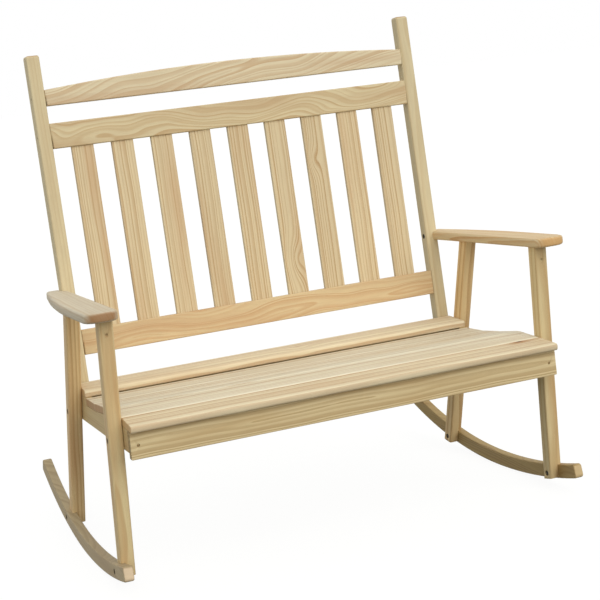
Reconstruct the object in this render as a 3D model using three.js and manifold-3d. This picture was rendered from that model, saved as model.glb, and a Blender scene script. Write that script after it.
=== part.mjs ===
import * as THREE from 'three';
import { mergeVertices } from 'three/addons/utils/BufferGeometryUtils.js';
import Module from 'manifold-3d';

// A double porch rocking bench in planed softwood, sizes in millimetres.
// +X is to the right as seen from the front, -Y is the front and +Z is up, with the floor at z = 0.
// The two end frames (legs, rocker, arm and seat rail) are turned a little, so the seat is wider in front,
// and they lean in a little, so the rockers stand wider apart than the arms.

const wasm = await Module();
wasm.setup();

// Stock
const stick = 36;
const rockerThickness = 25;
const rockerDepth = 37.5;
const plank = 19;
const backRailThickness = 22;
const backSlatWidth = 60;
const backSlatThickness = 12;
const armThickness = 24;
const stickEase = 5;
const plankEase = 3;
const slatEase = 2;
const armEase = 6;

// Clearances, and how far a cutter runs past what it cuts
const fit = 0.3;
const overrun = 80;

// End frames: half the distance between the legs' inner faces at the balance point, the toe-out, and the
// lean of the tops towards each other
const legSpread = 565.8;
const toeOut = THREE.MathUtils.degToRad(2.58);
const splay = THREE.MathUtils.degToRad(1.05);

// Rockers: long flats of two arcs, the front one wider, which meet in a level flat at the balance point
const frontRockerRadius = 1640;
const rearRockerRadius = 1245;
const balance = 9;
const rockerFlat = 23.6;
const flatsInFront = 16.5;
const flatsBehind = 22.5;
const rockerTipRadius = 9;
const footLap = 12;
const tongueLift = 3;

// Legs: where the front face meets the floor line, and the lean of the top towards the back
const frontLeg = { foot: -290.9, lean: THREE.MathUtils.degToRad(-1.8) };
const rearLeg = { foot: 242.4, lean: THREE.MathUtils.degToRad(-17.62) };

// Arms: top face at the balance point, its fall to the rear, and the plan outline
const armHeight = 674.4;
const armFall = THREE.MathUtils.degToRad(2.8);
const armOverhang = 9.6;
const armWidth = 86;
const armFront = -352;
const armLength = 600;
const armInnerCorner = 26;
const armOuterCorner = 32;
const armTailCorner = 8;
const armEdgeShares = [[0.995, 0.2], [1, 0.32], [0.99, 0.45], [0.92, 0.6], [0.785, 0.79], [0.57, 1]];

// Seat frame: rails' lower edge at the balance point and its fall to the rear
const seatBase = 333.3;
const seatFall = THREE.MathUtils.degToRad(2.09);
const seatNose = -384;
const frontSlatWidth = 87;
const middleSlats = 4;
const middlePitch = 93;
const seatGap = 1.5;
const seatCrown = 86.5;
const jointHeightShares = [0.827, 0.918, 1, 0.876, 0.788, 0.777];
const noseRadius = 7;
const slatCorner = 3.5;
const rearSlatWidth = 86;
const rearSlatFront = 80;
const rearSlatBase = 67.3;
const rearSlatTilt = THREE.MathUtils.degToRad(5);
const stepClearance = 2;
const apronSetback = 20;
const apronDrop = 13.6;
const stretcherPlace = 100;
const railTail = 212;
const railTailCorner = 12;
const cheekLift = 8;

// Back: lengths along the posts from the floor line, and its lean
const backLean = THREE.MathUtils.degToRad(7.04);
const postTop = 1289;
const lowerRailPlace = 493.2;
const middleRailPlace = 1041.5;
const crestRailPlace = 1154.3;
const backRailHeight = 66.6;
const crestEndHeight = 42.5;
const crestMiddleHeight = 65.7;
const backSlats = 9;
const backSlatSetback = 6;
const mortiseDepth = 12;
const postTopRadius = 7;

// Bolts, nuts and screws
const boltRadius = 3;
const boltHole = boltRadius + fit;
const hexRadius = 5.8;
const hexHeight = 4.4;
const flangeRadius = 6.6;
const flangeHeight = 1.4;
const boreRadius = 7.2;
const boreDepth = 8;
const railBoltHeight = 27;
const lagBite = 20;
const screwHole = 4;
const screwDepth = 7;
const legScrewDrop = 38;
const legScrewTilt = THREE.MathUtils.degToRad(35);
const apronScrewInset = 20;

// Smoothness: steps on an eased edge, a rounded corner, a bore and a long curve
const easeSteps = 2;
const cornerSteps = 3;
const boreSteps = 16;
const edgeSteps = 14;
const crestSteps = 16;

// Turns of an outline: drawn in side view (y, z), or in front view (x, z)
const sideView = new THREE.Matrix4().set(0, 0, 1, 0, 1, 0, 0, 0, 0, 1, 0, 0, 0, 0, 0, 1);
const frontView = new THREE.Matrix4().set(1, 0, 0, 0, 0, 0, -1, 0, 0, 1, 0, 0, 0, 0, 0, 1);

// Solids
function welded(geometry) {
  const bare = geometry.clone();
  bare.deleteAttribute('normal');
  bare.deleteAttribute('uv');
  return mergeVertices(bare);
}

function toSolid(geometry) {
  const vertProperties = new Float32Array(geometry.attributes.position.array);
  const triVerts = new Uint32Array(geometry.index.array);
  return new wasm.Manifold(new wasm.Mesh({ numProp: 3, vertProperties, triVerts }));
}

function toGeometry(solid) {
  const mesh = solid.getMesh();
  const geometry = new THREE.BufferGeometry();
  geometry.setAttribute('position', new THREE.BufferAttribute(mesh.vertProperties, 3));
  geometry.setIndex(new THREE.BufferAttribute(mesh.triVerts, 1));
  return geometry;
}

function carve(blank, cutters) {
  return toGeometry(cutters.reduce((solid, cutter) => solid.subtract(toSolid(cutter)), toSolid(blank)));
}

function joined(first, second) {
  return toGeometry(toSolid(first).add(toSolid(second)));
}

// The same piece for the other end: mirrored, with its triangles turned the right way round again
function handed(geometry, side) {
  if (side > 0) return geometry;
  const other = geometry.clone().scale(-1, 1, 1);
  other.index.array.reverse();
  return other;
}

// An outline from corners [across, up, radius], each radius made an arc
function rounded(corners) {
  return corners.flatMap(([across, up, radius], index) => {
    const corner = new THREE.Vector2(across, up);
    if (!radius) return [corner];
    const before = new THREE.Vector2(...corners.at(index - 1)).sub(corner).normalize();
    const after = new THREE.Vector2(...corners[(index + 1) % corners.length]).sub(corner).normalize();
    const half = Math.acos(before.dot(after)) / 2;
    const inward = before.clone().add(after).normalize();
    const centre = corner.clone().addScaledVector(inward, radius / Math.sin(half));
    const start = corner.clone().addScaledVector(before, radius / Math.tan(half)).sub(centre);
    const end = corner.clone().addScaledVector(after, radius / Math.tan(half)).sub(centre);
    const sweep = Math.atan2(start.cross(end), start.dot(end));
    const axis = new THREE.Vector2();
    return Array.from({ length: cornerSteps + 1 }, (_, step) =>
      start.clone().rotateAround(axis, (sweep * step) / cornerSteps).add(centre));
  });
}

// A board of the outline with all its edges eased, its thickness upwards from zero
function board(outline, thickness, ease) {
  const geometry = new THREE.ExtrudeGeometry(new THREE.Shape(outline), {
    depth: thickness - 2 * ease,
    bevelThickness: ease,
    bevelSize: ease,
    bevelOffset: -ease,
    bevelSegments: easeSteps,
  });
  return welded(geometry).translate(0, 0, ease);
}

// A cutter of the outline with square edges, from one depth to another
function cutter(outline, from, to) {
  const shape = new THREE.Shape(outline);
  const prism = new THREE.ExtrudeGeometry(shape, { depth: to - from, bevelEnabled: false });
  return welded(prism).translate(0, 0, from);
}

function block(from, to) {
  const size = to.clone().sub(from);
  const centre = from.clone().add(to).divideScalar(2);
  return welded(new THREE.BoxGeometry(...size)).translate(...centre);
}

// A round bore along +X from a point
function bore(radius, length, x, y, z) {
  const cylinder = new THREE.CylinderGeometry(radius, radius, length, boreSteps);
  return welded(cylinder).rotateZ(-Math.PI / 2).translate(x + length / 2, y, z);
}

// Frames: a group for each, so that a cutter can be carried from one frame to another
function frameAt(parent, x, y, z, turnX, turnZ) {
  const group = new THREE.Group();
  group.position.set(x, y, z);
  group.rotation.set(turnX, 0, turnZ, 'ZXY');
  parent.add(group);
  group.updateWorldMatrix(true, false);
  return group;
}

function carried(geometry, from, to) {
  const move = to.matrixWorld.clone().invert().multiply(from.matrixWorld);
  return geometry.clone().applyMatrix4(move);
}

function endFrame(parent, side) {
  const end = frameAt(parent, side * legSpread, 0, 0, 0, side * toeOut);
  const arm = frameAt(end, 0, 0, armHeight, -armFall, 0);
  const rail = frameAt(end, 0, 0, seatBase, -seatFall, 0);
  return { side, end, arm, rail };
}

// Places in side view
function lineMeets(leg, level) {
  const rise = level.height - leg.foot * Math.tan(level.fall);
  const z = rise / (1 + Math.tan(leg.lean) * Math.tan(level.fall));
  return { y: leg.foot + z * Math.tan(leg.lean), z };
}

function centreLine(leg) {
  return { foot: leg.foot + stick / Math.cos(leg.lean) / 2, lean: leg.lean };
}

// The arc of the rocker in front of the balance point, or behind it: its radius and its centre's height
function rockerArc(away) {
  const radius = away < 0 ? frontRockerRadius : rearRockerRadius;
  return { radius, height: Math.sqrt(radius ** 2 - (rockerFlat / 2) ** 2) };
}

// A corner between two flats, counted in flats from the balance point, at a depth above the sole
function rockerPoint(flats, depth) {
  const { radius, height } = rockerArc(flats);
  const angle = 2 * flats * Math.asin(rockerFlat / 2 / radius);
  return [balance + (radius - depth) * Math.sin(angle), height - (radius - depth) * Math.cos(angle)];
}

// Where the rear slat's lower back corner lies in the bench's frame, which sets the posts' place
const rearSlatBack = rearSlatFront + rearSlatWidth * Math.cos(rearSlatTilt);
const rearSlatBackBase = rearSlatBase + rearSlatWidth * Math.sin(rearSlatTilt);
const backCorner = new THREE.Vector2(rearSlatBack, rearSlatBackBase)
  .rotateAround(new THREE.Vector2(), -seatFall)
  .add(new THREE.Vector2(0, seatBase));
const postFace = backCorner.x + fit / Math.cos(backLean);
const backPost = { foot: postFace - backCorner.y * Math.tan(backLean), lean: backLean };
const postBolt = lineMeets(centreLine(backPost), {
  height: seatBase + railBoltHeight / Math.cos(seatFall),
  fall: seatFall,
});

// Half width between the planes of the rails' outer faces at a distance from the balance point and a height
function halfSpan(y, z) {
  const inward = (z - postBolt.z) * Math.tan(splay);
  return legSpread - (fit + inward + y * Math.sin(toeOut)) / Math.cos(toeOut);
}

const postOuter = halfSpan(postBolt.y, postBolt.z);
const postInner = postOuter - stick;

// The bench and its frames
const bench = new THREE.Group();
const right = endFrame(bench, 1);
const left = endFrame(bench, -1);
const back = frameAt(bench, 0, backPost.foot, 0, -backLean, 0);
const seat = frameAt(bench, 0, 0, seatBase, -seatFall, 0);

// The lean of an end frame, given to a piece drawn upright in the end frame or in its arm's or rail's frame
function leant(geometry, frame) {
  const slope = Math.tan(splay);
  const lean = new THREE.Matrix4().makeShear(0, 0, 0, 0, -slope, 0).setPosition(slope * postBolt.z, 0, 0);
  const toEnd = right.end.matrixWorld.clone().invert().multiply(frame.matrixWorld);
  return geometry.clone().applyMatrix4(toEnd.clone().invert().multiply(lean).multiply(toEnd));
}

// Finishes
const finishes = {
  frame: { color: '#cda873', roughness: 0.62, metalness: 0 },
  seat: { color: '#dcc8a4', roughness: 0.6, metalness: 0 },
  back: { color: '#d8b988', roughness: 0.6, metalness: 0 },
  zinc: { color: '#8f8d88', roughness: 0.42, metalness: 0.9 },
};

function add(parent, name, geometry, finish) {
  const mesh = new THREE.Mesh(geometry, new THREE.MeshStandardMaterial(finishes[finish]));
  mesh.name = name;
  parent.add(mesh);
  return mesh;
}

const sideName = (side) => (side > 0 ? 'right' : 'left');

// Rocker: lapped by the feet of both legs and bolted through them
const rockerCorners = flatsInFront + flatsBehind + 1;
const rockerSteps = Array.from({ length: rockerCorners }, (_, index) => index - flatsInFront);

function rockerOutline() {
  const tip = (flats) => (flats === -flatsInFront || flats === flatsBehind ? rockerTipRadius : 0);
  const lower = rockerSteps.map((flats) => [...rockerPoint(flats, 0), tip(flats)]);
  const upper = rockerSteps.map((flats) => [...rockerPoint(flats, rockerDepth), tip(flats)]);
  return rounded([...lower, ...upper.reverse()]);
}

// The middle of the rocker's depth on a leg's centre line
function footPoint(leg) {
  const line = centreLine(leg);
  let z = 0;
  for (let round = 0; round < edgeSteps; round += 1) {
    const away = line.foot + z * Math.tan(line.lean) - balance;
    const { radius, height } = rockerArc(away);
    z = height - Math.sqrt((radius - rockerDepth / 2) ** 2 - away ** 2);
  }
  return { y: line.foot + z * Math.tan(line.lean), z };
}

const rockerInner = stick - footLap;
const rockerOuter = rockerInner + rockerThickness;
const legs = { front: frontLeg, rear: rearLeg };

function rocker() {
  const upright = board(rockerOutline(), rockerThickness, plankEase).applyMatrix4(sideView);
  const blank = upright.translate(rockerInner, 0, 0);
  const cuts = Object.values(legs).map(footPoint).flatMap(({ y, z }) => [
    bore(boltHole, rockerOuter + overrun, 0, y, z),
    bore(boreRadius, overrun, rockerOuter - boreDepth, y, z),
  ]);
  return leant(carve(blank, cuts), right.end);
}

// Leg: square stick, its foot lapped on the rocker, its top cut to the arm
function belowArc(depth, from, to) {
  const arc = rockerSteps.map((flats) => new THREE.Vector2(...rockerPoint(flats, depth)));
  const low = new THREE.Vector2(arc[0].x, -overrun);
  const lowBack = new THREE.Vector2(arc.at(-1).x, -overrun);
  return cutter([...arc, lowBack, low], from, to).applyMatrix4(sideView);
}

const armUnder = { height: armHeight - (armThickness + fit) / Math.cos(armFall), fall: armFall };

function aboveArm() {
  const from = new THREE.Vector3(-overrun, armFront, -armThickness - fit);
  const to = new THREE.Vector3(stick + overrun, armFront + armLength, overrun);
  return carried(block(from, to), right.arm, right.end);
}

function railBoltPoint(leg) {
  const level = { height: seatBase + railBoltHeight / Math.cos(seatFall), fall: seatFall };
  return lineMeets(centreLine(leg), level);
}

// The slanting screw hole in the front face under the arm
function toeScrew(leg) {
  const top = lineMeets(leg, armUnder);
  const across = screwHole * 2;
  const depth = screwDepth * 2;
  const tool = welded(new THREE.CylinderGeometry(screwHole, screwHole, across + depth, boreSteps));
  tool.translate(0, (depth - across) / 2, 0).rotateX(Math.PI / 2 - legScrewTilt);
  return tool.translate(stick / 2, top.y - legScrewDrop * Math.tan(leg.lean), top.z - legScrewDrop);
}

function leg(name) {
  const line = legs[name];
  const depth = stick / Math.cos(line.lean);
  const edge = (z) => line.foot + z * Math.tan(line.lean);
  const head = armHeight + stick;
  const front = [-overrun, head].map((z) => new THREE.Vector2(edge(z), z));
  const rear = [head, -overrun].map((z) => new THREE.Vector2(edge(z) + depth, z));
  const blank = board([...front, ...rear].reverse(), stick, stickEase).applyMatrix4(sideView);
  const foot = footPoint(line);
  const rail = railBoltPoint(line);
  const cuts = [
    aboveArm(),
    belowArc(rockerDepth + fit, rockerInner - fit, stick + overrun),
    belowArc(tongueLift, -overrun, stick + overrun),
    bore(boltHole, stick, 0, foot.y, foot.z),
    bore(boreRadius, boreDepth + overrun, -overrun, foot.y, foot.z),
    bore(boltHole, stick, 0, rail.y, rail.z),
    bore(boreRadius, overrun, stick - boreDepth, rail.y, rail.z),
  ];
  if (name === 'front') cuts.push(toeScrew(line));
  return leant(carve(blank, cuts), right.end);
}

// Seat: boards over a scooped line, mitred to each other where it bends
function seatJoints() {
  const places = [seatNose, seatNose + frontSlatWidth];
  for (let slat = 0; slat < middleSlats; slat += 1) places.push(places.at(-1) + middlePitch);
  return places.map((y, index) => new THREE.Vector2(y, seatCrown * jointHeightShares[index]));
}

const joints = seatJoints();
const runs = joints.slice(1).map((joint, index) => joint.clone().sub(joints[index]).normalize());
const normals = runs.map((run) => new THREE.Vector2(-run.y, run.x));
const mitres = joints.map((_, index) => {
  const before = normals[Math.max(index - 1, 0)];
  const after = normals[Math.min(index, normals.length - 1)];
  return before.clone().add(after).normalize();
});

// The point a depth under a joint, where two boards' lower lines meet
function under(index, depth) {
  const normal = normals[Math.min(index, normals.length - 1)];
  return joints[index].clone().addScaledVector(mitres[index], -depth / mitres[index].dot(normal));
}

function slatSection(index) {
  const slide = runs[index].clone().multiplyScalar(seatGap / 2);
  const front = index === 0 ? noseRadius : slatCorner;
  const lowFront = under(index, plank).add(slide);
  const lowBack = under(index + 1, plank).sub(slide);
  const highBack = joints[index + 1].clone().sub(slide);
  const highFront = joints[index].clone().add(slide);
  const back = [lowBack, highBack].map((point) => [...point, slatCorner]);
  return rounded([[...lowFront, front], ...back, [...highFront, front]]);
}

// A board across the whole seat from its section, its ends drawn in to the planes of the end frames
function acrossSeat(section, ease) {
  const half = halfSpan(0, postBolt.z);
  const geometry = board(section, half * 2, ease).applyMatrix4(sideView).translate(-half, 0, 0);
  return drawnIn(geometry, half, 0);
}

function drawnIn(geometry, half, inset) {
  const places = geometry.attributes.position;
  for (let index = 0; index < places.count; index += 1) {
    const [along, up] = [places.getY(index), places.getZ(index)];
    const y = along * Math.cos(seatFall) + up * Math.sin(seatFall);
    const z = seatBase + up * Math.cos(seatFall) - along * Math.sin(seatFall);
    const reach = halfSpan(y, z) - inset / Math.cos(toeOut);
    places.setX(index, (places.getX(index) * reach) / half);
  }
  return geometry;
}

function rearSlatSection() {
  const origin = new THREE.Vector2();
  const along = new THREE.Vector2(rearSlatWidth, 0).rotateAround(origin, rearSlatTilt);
  const upward = new THREE.Vector2(0, plank).rotateAround(origin, rearSlatTilt);
  const lowFront = new THREE.Vector2(rearSlatFront, rearSlatBase);
  const lowBack = lowFront.clone().add(along);
  const highBack = lowBack.clone().add(upward);
  const highFront = lowFront.clone().add(upward);
  const plain = [lowFront, lowBack, highBack].map((point) => [...point, slatCorner]);
  return rounded([...plain, [...highFront, noseRadius]]);
}

// The rails' upper line from the front to the step, and on under the rear slat
const apronFace = seatNose + apronSetback;
const railFront = apronFace + plank + fit;
const stepPlace = joints.at(-1).x + stepClearance;

function supportHeight(y) {
  const [from, to] = [under(0, plank + fit), under(1, plank + fit)];
  return THREE.MathUtils.mapLinear(y, from.x, to.x, from.y, to.y);
}

const rearLineBase = rearSlatBase - fit / Math.cos(rearSlatTilt);
const rearLine = (y) => rearLineBase + (y - rearSlatFront) * Math.tan(rearSlatTilt);

function scoop(front) {
  const middle = joints.map((_, index) => under(index, plank + fit)).slice(1).reverse();
  const last = middle[0];
  return [[stepPlace, last.y, 0], ...middle.map((point) => [...point, 0]), [front, supportHeight(front), 0]];
}

function railOutline(front) {
  const tail = [[front, 0, 0], [railTail, 0, railTailCorner], [railTail, rearLine(railTail), railTailCorner]];
  return rounded([...tail, [stepPlace, rearLine(stepPlace), 0], ...scoop(front)]);
}

const postBoltInEnd = right.end.worldToLocal(new THREE.Vector3(postInner, postBolt.y, postBolt.z));

// Side rail of the seat: behind the legs' inner faces, bolted to both legs and to the post
function seatRail() {
  const outline = railOutline(railFront - plank * Math.sin(toeOut));
  const blank = board(outline, plank, slatEase).applyMatrix4(sideView).translate(-plank - fit, 0, 0);
  const cuts = Object.values(legs).map(railBoltPoint).flatMap(({ y, z }) => [
    bore(boltHole, plank + overrun, -overrun, y, z),
    bore(boreRadius, overrun, -plank - fit - overrun + boreDepth, y, z),
  ]);
  cuts.push(bore(boltHole, plank + overrun, -overrun, postBoltInEnd.y, postBoltInEnd.z));
  cuts.push(bore(boreRadius, overrun, -fit - boreDepth, postBoltInEnd.y, postBoltInEnd.z));
  const roomFront = new THREE.Vector3(0, apronFace - overrun, -overrun);
  const apronRoom = block(roomFront, new THREE.Vector3(legSpread * 2, railFront, seatBase));
  const bores = cuts.map((cut) => carried(cut, right.end, right.rail));
  return leant(carve(blank, [...bores, carried(apronRoom, seat, right.rail)]), right.rail);
}

function seatSupport() {
  const end = stretcherPlace - fit;
  const low = under(joints.length - 1, plank + fit).y;
  const outline = [[railFront, 0, 0], [end, 0, 0], [end, low, 0], ...scoop(railFront)];
  return board(rounded(outline), plank, slatEase).applyMatrix4(sideView).translate(-plank / 2, 0, 0);
}

// A board on edge across the seat frame, drawn in plan, its ends drawn in to the end frames
function onEdge(front, low, high, inset) {
  const half = halfSpan(0, postBolt.z);
  const outline = [[-half, front], [half, front], [half, front + plank], [-half, front + plank]];
  const geometry = board(outline.map((point) => new THREE.Vector2(...point)), high - low, slatEase);
  return drawnIn(geometry.translate(0, 0, low), half, inset);
}

function apron() {
  const height = supportHeight(apronFace);
  const blank = onEdge(apronFace, -apronDrop, height, 0);
  const screws = [-1, 1].map((side) => {
    const tool = bore(screwHole, screwDepth + overrun, -overrun, 0, 0).rotateZ(Math.PI / 2);
    const place = side * (halfSpan(apronFace, postBolt.z) - apronScrewInset);
    return tool.translate(place, apronFace, (height - apronDrop) / 2);
  });
  return carve(blank, screws);
}

function stretcher() {
  return onEdge(stretcherPlace, 0, rearLine(stretcherPlace), plank + fit);
}

// Back: leaning posts with rails between them, the slats housed in the lower and middle rails
const backRailLength = (postInner - fit) * 2;
const backSlatSpace = (backRailLength - backSlats * backSlatWidth) / (backSlats + 1);
const backSlatPlaces = Array.from({ length: backSlats }, (_, index) =>
  (index + 1) * backSlatSpace + index * backSlatWidth + (backSlatWidth - backRailLength) / 2);
const railPlaces = [lowerRailPlace, middleRailPlace, crestRailPlace];

function armBoltPoint() {
  const level = { height: armHeight - armThickness / 2 / Math.cos(armFall), fall: armFall };
  const { y, z } = lineMeets(centreLine(backPost), level);
  return back.worldToLocal(new THREE.Vector3(0, y, z));
}

const armBolt = armBoltPoint();

// The room of the seat rail under the post's shoulder
function railRoom() {
  const far = railTail + overrun;
  const roof = (y) => [y, rearLine(y) + fit * 2];
  const outline = [[stepPlace, -overrun], [far, -overrun], roof(far), roof(stepPlace)];
  const room = cutter(outline.map((point) => new THREE.Vector2(...point)), -plank - fit * 2, overrun);
  return carried(leant(room.applyMatrix4(sideView), right.rail), right.rail, back);
}

function post() {
  const outline = [[0, 0, 0], [stick, 0, 0], [stick, postTop, postTopRadius], [0, postTop, postTopRadius]];
  const blank = board(rounded(outline), stick, stickEase).applyMatrix4(sideView).translate(postInner, 0, 0);
  const low = new THREE.Vector3(-legSpread, -overrun, -seatBase);
  const high = new THREE.Vector3(overrun, railTail + overrun, cheekLift);
  const footRoom = carried(block(low, high), right.rail, back);
  const bolts = [
    bore(boltHole, legSpread, -legSpread, postBoltInEnd.y, postBoltInEnd.z),
    bore(boreRadius, legSpread, postBoltInEnd.x + boreDepth - legSpread, postBoltInEnd.y, postBoltInEnd.z),
  ].map((cut) => carried(leant(cut, right.end), right.end, back));
  const screws = railPlaces.map((place, index) => {
    const height = index === railPlaces.length - 1 ? crestEndHeight : backRailHeight;
    return bore(screwHole, overrun, postOuter - screwDepth, backRailThickness / 2, place + height / 2);
  });
  const armBores = [
    bore(boltHole, stick + overrun, postInner - overrun / 2, armBolt.y, armBolt.z),
    bore(boreRadius, overrun, postInner + boreDepth - overrun, armBolt.y, armBolt.z),
  ];
  return carve(blank, [footRoom, railRoom(), ...bolts, ...screws, ...armBores]);
}

function mortise(x, from, to) {
  const low = new THREE.Vector3(x - backSlatWidth / 2 - fit, backSlatSetback - fit, from);
  const high = new THREE.Vector3(x + backSlatWidth / 2 + fit, backSlatSetback + backSlatThickness + fit, to);
  return block(low, high);
}

function straightRail(place, from, to) {
  const half = backRailLength / 2;
  const outline = [[-half, 0], [half, 0], [half, backRailHeight], [-half, backRailHeight]];
  const geometry = board(outline.map((point) => new THREE.Vector2(...point)), backRailThickness, plankEase);
  const blank = geometry.applyMatrix4(frontView).translate(0, backRailThickness, place);
  return carve(blank, backSlatPlaces.map((x) => mortise(x, place + from, place + to)));
}

function crestRail() {
  const half = backRailLength / 2;
  const rise = crestMiddleHeight - crestEndHeight;
  const arch = Array.from({ length: crestSteps + 1 }, (_, index) => {
    const share = 1 - (index * 2) / crestSteps;
    return new THREE.Vector2(half * share, crestEndHeight + rise * (1 - share * share));
  });
  const outline = [new THREE.Vector2(-half, 0), new THREE.Vector2(half, 0), ...arch];
  const geometry = board(outline, backRailThickness, plankEase);
  return geometry.applyMatrix4(frontView).translate(0, backRailThickness, crestRailPlace);
}

function backSlat(x) {
  const low = lowerRailPlace + backRailHeight - mortiseDepth + fit;
  const high = middleRailPlace + mortiseDepth - fit;
  const half = backSlatWidth / 2;
  const outline = [[x - half, low], [x + half, low], [x + half, high], [x - half, high]];
  const geometry = board(outline.map((point) => new THREE.Vector2(...point)), backSlatThickness, slatEase);
  return geometry.applyMatrix4(frontView).translate(0, backSlatSetback + backSlatThickness, 0);
}

// Arm: a shaped board on both legs, notched round the post and bolted to it
function armOutline() {
  const edge = new THREE.SplineCurve(armEdgeShares.map(([across, along]) =>
    new THREE.Vector2(armWidth * across - armOverhang, armFront + armLength * along)));
  const outer = edge.getPoints(edgeSteps).map((point) => [...point, 0]);
  const tail = [...outer.pop().slice(0, 2), armTailCorner];
  return rounded([
    [-armOverhang, armFront, armInnerCorner],
    [armWidth * armEdgeShares[0][0] - armOverhang, armFront, armOuterCorner],
    ...outer,
    tail,
    [-armOverhang, armFront + armLength, 0],
  ]);
}

function arm() {
  const blank = leant(board(armOutline(), armThickness, armEase).translate(0, 0, -armThickness), right.arm);
  const far = new THREE.Vector3(postOuter + fit, stick + overrun, postTop);
  const notch = block(new THREE.Vector3(0, -fit, 0), far);
  const hole = bore(boltHole, stick + lagBite + fit, postInner, armBolt.y, armBolt.z);
  return carve(blank, [notch, hole].map((cut) => carried(cut, back, right.arm)));
}

// Fasteners: a bolt lies along +X from its head's seat at zero, its head at the negative end
function bolt(length) {
  const profile = [[0, -flangeHeight], [flangeRadius, -flangeHeight], [flangeRadius, 0], [boltRadius, 0],
    [boltRadius, length], [0, length]].map(([radius, along]) => new THREE.Vector2(radius, along));
  const shank = welded(new THREE.LatheGeometry(profile, boreSteps));
  const head = welded(new THREE.CylinderGeometry(hexRadius, hexRadius, hexHeight, 6));
  head.translate(0, -flangeHeight / 2 - hexHeight / 2, 0);
  return joined(shank, head).rotateZ(-Math.PI / 2);
}

function nut() {
  const hex = welded(new THREE.CylinderGeometry(hexRadius, hexRadius, hexHeight, 6));
  const flange = welded(new THREE.CylinderGeometry(flangeRadius, flangeRadius, flangeHeight, boreSteps));
  const thread = welded(new THREE.CylinderGeometry(boltHole, boltHole, overrun, boreSteps));
  const whole = joined(hex.translate(0, hexHeight / 2, 0), flange.translate(0, flangeHeight / 2, 0));
  return carve(whole, [thread]).rotateZ(Math.PI / 2);
}

// A bolt with its head towards +X and its nut at the other end, both in their counterbores
function boltAndNut({ side, end }, name, headFace, nutFace, place) {
  const headSeat = headFace - boreDepth + fit;
  const nutSeat = nutFace + boreDepth - fit;
  const shank = headSeat - nutSeat + flangeHeight + hexHeight;
  const screw = leant(bolt(shank).rotateY(Math.PI).translate(headSeat, place.y, place.z), right.end);
  const holder = leant(nut().translate(nutSeat, place.y, place.z), right.end);
  add(end, `${name}_bolt_${sideName(side)}`, handed(screw, side), 'zinc');
  add(end, `${name}_nut_${sideName(side)}`, handed(holder, side), 'zinc');
}

// The ends
for (const frames of [left, right]) {
  const { side } = frames;
  const hand = sideName(side);
  add(frames.end, `rocker_${hand}`, handed(rocker(), side), 'frame');
  add(frames.end, `front_leg_${hand}`, handed(leg('front'), side), 'frame');
  add(frames.end, `rear_leg_${hand}`, handed(leg('rear'), side), 'frame');
  add(frames.rail, `seat_rail_${hand}`, handed(seatRail(), side), 'frame');
  add(frames.arm, `arm_${hand}`, handed(arm(), side), 'seat');
  for (const [name, line] of Object.entries(legs)) {
    boltAndNut(frames, `${name}_rocker`, rockerOuter, 0, footPoint(line));
    boltAndNut(frames, `${name}_seat`, stick, -plank - fit, railBoltPoint(line));
  }
  boltAndNut(frames, 'post', -fit, postBoltInEnd.x, postBoltInEnd);
  const lag = bolt(stick - boreDepth + lagBite).translate(postInner + boreDepth - fit, armBolt.y, armBolt.z);
  add(back, `arm_bolt_${hand}`, handed(lag, side), 'zinc');
  add(back, `back_post_${hand}`, handed(post(), side), 'back');
}

// The seat
add(seat, 'front_apron', apron(), 'frame');
add(seat, 'rear_stretcher', stretcher(), 'frame');
add(seat, 'seat_support', seatSupport(), 'frame');
add(seat, 'seat_slat_front', acrossSeat(slatSection(0), slatEase), 'seat');
for (let index = 1; index <= middleSlats; index += 1) {
  add(seat, `seat_slat_${index}`, acrossSeat(slatSection(index), slatEase), 'seat');
}
add(seat, 'seat_slat_rear', acrossSeat(rearSlatSection(), slatEase), 'seat');

// The back
const lowerRail = straightRail(lowerRailPlace, backRailHeight - mortiseDepth, backRailHeight + overrun);
add(back, 'lower_rail', lowerRail, 'back');
add(back, 'middle_rail', straightRail(middleRailPlace, -overrun, mortiseDepth), 'back');
add(back, 'crest_rail', crestRail(), 'back');
backSlatPlaces.forEach((x, index) => add(back, `back_slat_${index + 1}`, backSlat(x), 'back'));

// The bench stands on the floor with its origin at the middle of its footprint
const extent = new THREE.Box3().setFromObject(bench, true);
bench.position.set(0, -(extent.min.y + extent.max.y) / 2, -extent.min.z);

export default bench;
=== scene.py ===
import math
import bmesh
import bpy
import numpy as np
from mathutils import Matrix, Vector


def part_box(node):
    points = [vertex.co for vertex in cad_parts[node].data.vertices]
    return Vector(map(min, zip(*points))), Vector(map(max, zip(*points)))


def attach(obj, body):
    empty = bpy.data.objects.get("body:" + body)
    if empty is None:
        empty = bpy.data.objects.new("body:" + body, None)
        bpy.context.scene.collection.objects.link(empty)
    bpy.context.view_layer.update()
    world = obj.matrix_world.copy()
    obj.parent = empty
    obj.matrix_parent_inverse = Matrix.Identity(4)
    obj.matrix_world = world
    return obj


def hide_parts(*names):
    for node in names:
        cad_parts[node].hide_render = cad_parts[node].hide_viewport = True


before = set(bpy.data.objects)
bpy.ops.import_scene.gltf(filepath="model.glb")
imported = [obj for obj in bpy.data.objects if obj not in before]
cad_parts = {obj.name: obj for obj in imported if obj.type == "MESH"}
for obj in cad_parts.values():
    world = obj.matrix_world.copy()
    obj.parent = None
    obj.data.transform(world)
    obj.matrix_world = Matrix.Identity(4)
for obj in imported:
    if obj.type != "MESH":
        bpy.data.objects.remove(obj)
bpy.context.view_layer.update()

# %% [markdown]
# # A double porch rocking bench in planed pine
# The bench is bare softwood: two end frames of square legs stand on curved rockers and carry a
# scooped seat, two shaped arms and a high slatted back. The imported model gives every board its
# size and place, so this lesson makes only what the eye wants: soft edges, growth rings that run
# through each board as they ran through its tree, end grain, screws in their holes and dull zinc
# on the bolts. All lengths are in metres, +X is to the right as seen from the front, -Y is the
# front, +Z is up.

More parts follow.
